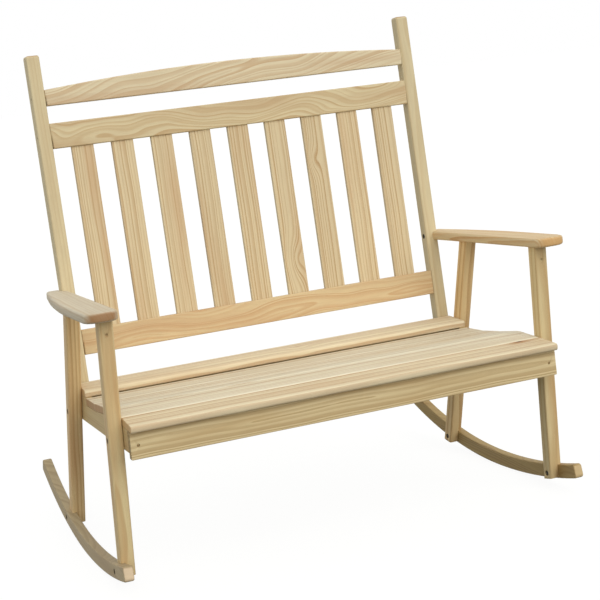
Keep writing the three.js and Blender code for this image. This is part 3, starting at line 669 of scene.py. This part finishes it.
def planed(node, material, number):
    """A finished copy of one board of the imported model."""
    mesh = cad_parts[node].data.copy()
    mesh.materials.clear()
    mesh.materials.append(material)
    work = bmesh.new()
    work.from_mesh(mesh)
    bmesh.ops.remove_doubles(work, verts=work.verts, dist=MERGE)
    work.to_mesh(mesh)
    work.free()
    middle, axes = grain_axes(mesh)
    places = (np.array([vertex.co for vertex in mesh.vertices]) - middle) @ axes.T
    write_attribute(mesh, "grain", "FLOAT_VECTOR", "POINT", "vector", places)
    write_attribute(mesh, "board", "FLOAT", "POINT", "value", np.full(len(places), number))
    # Faces in the bolt bores are marked for painted shade.
    write_attribute(mesh, "bore_shade", "FLOAT", "FACE", "value", bore_shade_faces(mesh))
    write_knots(mesh, [node] * len(places))
    piece = bpy.data.objects.new(f"planed_{node}", mesh)
    scene.collection.objects.link(piece)
    soften(piece)
    ends = np.abs(np.array([corner.vector for corner in piece.data.corner_normals]) @ axes[0])
    write_attribute(piece.data, "end", "FLOAT", "CORNER", "value", ends)
    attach(piece, "root")
    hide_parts(node)
    return piece


boards = {node: planed(node, wood, count) for count, (node, wood, slot) in enumerate(BOARDS, start=1)}
face_count = sum(len(piece.data.polygons) for piece in boards.values())
print("planed boards:", len(boards), "with", face_count, "faces")

# %% [markdown]
# ## Back slats
# Nine slats stand side by side, all cut alike, so one rule makes them: a rectangle with rounded
# corners is swept along a slat's length, and the slat is set on nine points of a line. Geometry
# Nodes suit that, and a change of one number changes the whole back. A modifier knows each input
# of its tree by the socket's identifier, so a helper looks that up by the socket's name.

# %% Helpers for Geometry Nodes
def new_geometry_tree(name, sockets):
    """An empty Geometry Nodes tree with named inputs and one geometry output."""
    tree = bpy.data.node_groups.new(name, "GeometryNodeTree")
    for socket, kind in sockets.items():
        tree.interface.new_socket(socket, in_out="INPUT", socket_type=kind)
    tree.interface.new_socket("Geometry", in_out="OUTPUT", socket_type="NodeSocketGeometry")
    return tree, tree.nodes.new("NodeGroupInput").outputs


def run_geometry_tree(piece, tree, values):
    """Runs the tree on a piece with its inputs set, and keeps the result as a plain mesh."""
    modifier = piece.modifiers.new(tree.name, "NODES")
    modifier.node_group = tree
    for socket in tree.interface.items_tree:
        if socket.name in values:
            modifier[socket.identifier] = values[socket.name]
    keep_result(piece)


SLAT_NODES = sorted(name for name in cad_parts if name.startswith("back_slat_"))
print("slats in the packed model:", len(SLAT_NODES))

# %% [markdown]
# The tree makes one slat that stands on end round the origin, so its own Z is the way of the
# grain. It writes the grain and the end grain for the pine while the slat is still upright.

# %% One eased slat
SLAT_EASE_STEPS = 3
TO_THE_MIDDLE = -0.5
SLAT_SOCKETS = {
    "Slats": "NodeSocketInt", "Width": "NodeSocketFloat", "Thickness": "NodeSocketFloat",
    "Length": "NodeSocketFloat", "Ease": "NodeSocketFloat", "First": "NodeSocketVector",
    "Step": "NodeSocketVector", "Turn": "NodeSocketVector", "Wood": "NodeSocketMaterial",
}


def eased_slat(tree, size):
    """One upright slat with eased edges, its grain and its end grain."""
    outline = add_node(tree, "GeometryNodeCurvePrimitiveQuadrilateral", {
        "Width": size["Width"], "Height": size["Thickness"]})
    eased = add_node(tree, "GeometryNodeFilletCurve", {
        "Curve": outline, "Radius": size["Ease"], "Count": SLAT_EASE_STEPS}, mode="POLY")
    top = add_node(tree, "ShaderNodeCombineXYZ", {"Z": size["Length"]})
    middle = add_node(tree, "ShaderNodeVectorMath", {0: top, "Scale": TO_THE_MIDDLE}, operation="SCALE")
    line = add_node(tree, "GeometryNodeCurvePrimitiveLine", {"End": top})
    centred = add_node(tree, "GeometryNodeTransform", {"Geometry": line, "Translation": middle})
    slat = add_node(tree, "GeometryNodeCurveToMesh", {
        "Curve": centred, "Profile Curve": eased, "Fill Caps": True})
    place = add_node(tree, "ShaderNodeSeparateXYZ", {0: tree.nodes.new("GeometryNodeInputPosition")}).outputs
    in_grain = add_node(tree, "ShaderNodeCombineXYZ", {0: place["Z"], 1: place["X"], 2: place["Y"]})
    facing = add_node(tree, "ShaderNodeSeparateXYZ", {0: tree.nodes.new("GeometryNodeInputNormal")}).outputs
    end = add_node(tree, "ShaderNodeMath", {0: facing["Z"]}, operation="ABSOLUTE")
    slat = add_node(tree, "GeometryNodeStoreNamedAttribute", {
        "Geometry": slat, "Name": "grain", "Value": in_grain}, data_type="FLOAT_VECTOR", domain="POINT")
    return add_node(tree, "GeometryNodeStoreNamedAttribute", {
        "Geometry": slat, "Name": "end", "Value": end}, data_type="FLOAT", domain="FACE")


print("inputs of the slats:", ", ".join(SLAT_SOCKETS))

# %% [markdown]
# Then the tree sets a copy on each point of the line and gives each its number, so every slat is
# cut from a tree of its own.

# %% The tree that sets slats on a line
def slat_tree():
    """Eased slats on the points of a line, each with its own number."""
    tree, size = new_geometry_tree("slats_on_a_line", SLAT_SOCKETS)
    slat = eased_slat(tree, size)
    row = add_node(tree, "GeometryNodeMeshLine", {
        "Count": size["Slats"], "Start Location": size["First"], "Offset": size["Step"]}, mode="OFFSET")
    turn = add_node(tree, "FunctionNodeEulerToRotation", {0: size["Turn"]})
    placed = add_node(tree, "GeometryNodeInstanceOnPoints", {
        "Points": row, "Instance": slat, "Rotation": turn})
    numbered = add_node(tree, "GeometryNodeStoreNamedAttribute", {
        "Geometry": placed, "Name": "board", "Value": tree.nodes.new("GeometryNodeInputIndex")},
        data_type="FLOAT", domain="INSTANCE")
    real = add_node(tree, "GeometryNodeRealizeInstances", {"Geometry": numbered})
    wooden = add_node(tree, "GeometryNodeSetMaterial", {"Geometry": real, "Material": size["Wood"]})
    add_node(tree, "NodeGroupOutput", {"Geometry": wooden})
    return tree


slats_on_a_line = slat_tree()
print("slats on a line:", len(slats_on_a_line.nodes), "nodes")

# %% [markdown]
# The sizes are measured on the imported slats: the first slat gives the width, the thickness, the
# length and the turn, and the middles of the first and the last give the line.

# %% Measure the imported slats
first_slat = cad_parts[SLAT_NODES[0]].data
slat_middles = [grain_axes(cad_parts[name].data)[0] for name in SLAT_NODES]
slat_axes = grain_axes(first_slat)[1]
slat_points = np.array([vertex.co for vertex in first_slat.vertices]) @ slat_axes.T
slat_length, slat_width, slat_thickness = np.ptp(slat_points, axis=0)
slat_along, slat_across = Vector(slat_axes[0]), Vector(slat_axes[1])
slat_turn = Matrix((slat_across, slat_along.cross(slat_across), slat_along)).transposed().to_euler()
slat_size = [round(float(value) / MM, 1) for value in (slat_length, slat_width, slat_thickness)]
print("a slat is", slat_size, "mm")

# %% Make the row of slats
SLAT_EASE = 2 * MM

back_slats = bpy.data.objects.new("planed_back_slats", bpy.data.meshes.new("planed_back_slats"))
scene.collection.objects.link(back_slats)
run_geometry_tree(back_slats, slats_on_a_line, {
    "Slats": len(SLAT_NODES), "Width": slat_width, "Thickness": slat_thickness, "Length": slat_length,
    "Ease": SLAT_EASE, "First": slat_middles[0], "Turn": slat_turn, "Wood": slat_pine,
    "Step": (slat_middles[-1] - slat_middles[0]) / (len(SLAT_NODES) - 1)})
slat_numbers = np.zeros(len(back_slats.data.vertices), dtype=np.float32)
back_slats.data.attributes["board"].data.foreach_get("value", slat_numbers)
write_knots(back_slats.data, [SLAT_NODES[round(float(number))] for number in slat_numbers])
soften(back_slats)
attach(back_slats, "root")
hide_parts(*SLAT_NODES)
print("row of slats:", len(back_slats.data.polygons), "faces")

# %% [markdown]
# ## Zinc-plated steel
# Bolts and nuts are mild steel with a thin coat of zinc, which a year of air turns from bright to
# a dull, cloudy grey. The bolts' tones are drawn near black besides, as painted shade of the deep
# bores they sit in. The wood screws have yellow zinc. The tumbling barrel leaves both faintly
# mottled, at a scale of about 1 mm, so roughness and tone change a little with a noise.

# %% Zinc
MOTTLE_LENGTH = 1.1 * MM
MOTTLE_DETAIL = 3
ZINC_ROUGHNESS = {"To Min": 0.3, "To Max": 0.56}


def plated(name, bright, dull):
    """Mild steel with a thin cloudy coat of zinc, between two tones."""
    material, output = new_material(name)
    tree = material.node_tree
    where = add_node(tree, "ShaderNodeTexCoord").outputs["Object"]
    mottle = add_node(tree, "ShaderNodeTexNoise", {
        "Vector": where, "Scale": 1 / MOTTLE_LENGTH, "Detail": MOTTLE_DETAIL})
    rough = add_node(tree, "ShaderNodeMapRange", {"Value": mottle, **ZINC_ROUGHNESS})
    cloud = add_node(tree, "ShaderNodeMix", {
        0: mottle, MIX_A: linear(bright), MIX_B: linear(dull)}, data_type="RGBA")
    metal = add_node(tree, "ShaderNodeBsdfPrincipled", {
        "Base Color": cloud.outputs[MIX_RESULT], "Roughness": rough, "Metallic": 1})
    tree.links.new(metal.outputs[0], output.inputs["Surface"])
    return material


# The bolts' near-black tones are dull zinc and painted shade of their bores.
bolt_zinc_and_shade = plated("dull_zinc_bolts_and_painted_shade", "#47443f", "#302e2a")
screw_zinc = plated("yellow_zinc_plated_screws", "#b0986e", "#857150")
for name in BOLT_NODES:
    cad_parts[name].data.materials.clear()
    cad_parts[name].data.materials.append(bolt_zinc_and_shade)
print("zinc on", len(BOLT_NODES), "bolts and nuts")

# %% [markdown]
# ## Wood screws
# Screws hold the rails between the posts, the apron on the seat rails and the arms on the front
# legs. Each head sits in its own hole, a little below the wood, so it shows as a small dot with a
# dark rim. The holes are in the boards already, and each ends in a round floor. The script looks
# for those floors, so no screw can miss its hole.

# %% Find the floors of the screw holes
HOLE_RADIUS = 4 * MM
HOLE_SLACK = 0.25 * MM
HOLE_SIDES = 12
FLAT_ANGLE = 0.5


def hole_floors(mesh):
    """The middle and the direction of each round floor of a screw hole."""
    work = bmesh.new()
    work.from_mesh(mesh)
    bmesh.ops.dissolve_limit(
        work, angle_limit=math.radians(FLAT_ANGLE), verts=work.verts, edges=work.edges)
    found = []
    for face in work.faces:
        middle = face.calc_center_median()
        reach = [(vertex.co - middle).length for vertex in face.verts]
        if len(reach) >= HOLE_SIDES and max(abs(value - HOLE_RADIUS) for value in reach) < HOLE_SLACK:
            found.append((middle.copy(), face.normal.copy()))
    work.free()
    return found


floors = [place for piece in boards.values() for place in hole_floors(piece.data)]
print("screw holes:", len(floors))

# %% [markdown]
# A head is a flattened ball with two crossed bars cut out of its top. The exact solver makes the
# cut, because the fast one left almost nothing of the head.

# %% A domed head with a cross recess
BALL_SEGMENTS = 24
BALL_RINGS = 12
SCREW_SOCKETS = {
    "Geometry": "NodeSocketGeometry", "Radius": "NodeSocketFloat", "Height": "NodeSocketFloat",
    "Slot": "NodeSocketFloat", "Seed": "NodeSocketInt", "Steel": "NodeSocketMaterial",
}


def domed_head(tree, size):
    """One screw head at the origin, with its cross recess on top."""
    ball = add_node(tree, "GeometryNodeMeshUVSphere", {
        "Segments": BALL_SEGMENTS, "Rings": BALL_RINGS, "Radius": 1})
    flat = add_node(tree, "ShaderNodeCombineXYZ", {0: size["Radius"], 1: size["Radius"], 2: size["Height"]})
    head = add_node(tree, "GeometryNodeTransform", {"Geometry": ball, "Scale": flat})
    bar = add_node(tree, "ShaderNodeCombineXYZ", {0: size["Radius"], 1: size["Slot"], 2: size["Height"]})
    lifted = add_node(tree, "ShaderNodeCombineXYZ", {2: size["Height"]})
    cube = add_node(tree, "GeometryNodeMeshCube", {"Size": bar})
    first = add_node(tree, "GeometryNodeTransform", {"Geometry": cube, "Translation": lifted})
    second = add_node(tree, "GeometryNodeTransform", {"Geometry": first, "Rotation": (0, 0, math.pi / 2)})
    cut = add_node(tree, "GeometryNodeMeshBoolean", {"Mesh 1": head}, operation="DIFFERENCE", solver="EXACT")
    for arm in (first, second):
        tree.links.new(arm.outputs[0], cut.inputs["Mesh 2"])
    return cut


print("inputs of the screws:", ", ".join(SCREW_SOCKETS))

# %% [markdown]
# Geometry Nodes set one head above every floor, each turned to its own angle by a fixed seed, as a
# screwdriver leaves it. A random value node has sockets for several kinds of value: the range of a
# plain number goes in at numbers 2 and 3, and the number comes out at 1.

# %% The tree that drives screws
def screw_tree():
    """Domed heads, one on each point, along its facing attribute."""
    tree, size = new_geometry_tree("screws_in_holes", SCREW_SOCKETS)
    head = domed_head(tree, size)
    facing = add_node(tree, "GeometryNodeInputNamedAttribute", {"Name": "facing"}, data_type="FLOAT_VECTOR")
    aimed = add_node(tree, "FunctionNodeAlignRotationToVector", {"Vector": facing}, axis="Z")
    spin = add_node(tree, "FunctionNodeRandomValue", {
        2: 0, 3: math.pi, "Seed": size["Seed"]}, data_type="FLOAT")
    twist = add_node(tree, "ShaderNodeCombineXYZ", {2: spin.outputs[1]})
    turned = add_node(tree, "FunctionNodeEulerToRotation", {0: twist})
    set_at = add_node(tree, "FunctionNodeRotateRotation", {0: aimed, 1: turned}, rotation_space="LOCAL")
    placed = add_node(tree, "GeometryNodeInstanceOnPoints", {
        "Points": size["Geometry"], "Instance": head, "Rotation": set_at})
    real = add_node(tree, "GeometryNodeRealizeInstances", {"Geometry": placed})
    steel = add_node(tree, "GeometryNodeSetMaterial", {"Geometry": real, "Material": size["Steel"]})
    add_node(tree, "NodeGroupOutput", {"Geometry": steel})
    return tree


screws_in_holes = screw_tree()
print("screws in holes:", len(screws_in_holes.nodes), "nodes")

# %% Drive the screws
SCREW_RADIUS = 3.6 * MM
SCREW_HEIGHT = 2.2 * MM
SCREW_SLOT = 0.9 * MM
SCREW_SEED = 4
SCREW_LIFT = 4.4 * MM

screw_mesh = bpy.data.meshes.new("wood_screws")
screw_mesh.from_pydata([place + facing * SCREW_LIFT for place, facing in floors], [], [])
write_attribute(screw_mesh, "facing", "FLOAT_VECTOR", "POINT", "vector", [facing for _, facing in floors])
screws = bpy.data.objects.new("wood_screws", screw_mesh)
scene.collection.objects.link(screws)
run_geometry_tree(screws, screws_in_holes, {
    "Radius": SCREW_RADIUS, "Height": SCREW_HEIGHT, "Slot": SCREW_SLOT, "Seed": SCREW_SEED,
    "Steel": screw_zinc})
soften(screws)
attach(screws, "root")
print("screws:", len(floors), "heads with", len(screws.data.polygons), "faces in all")
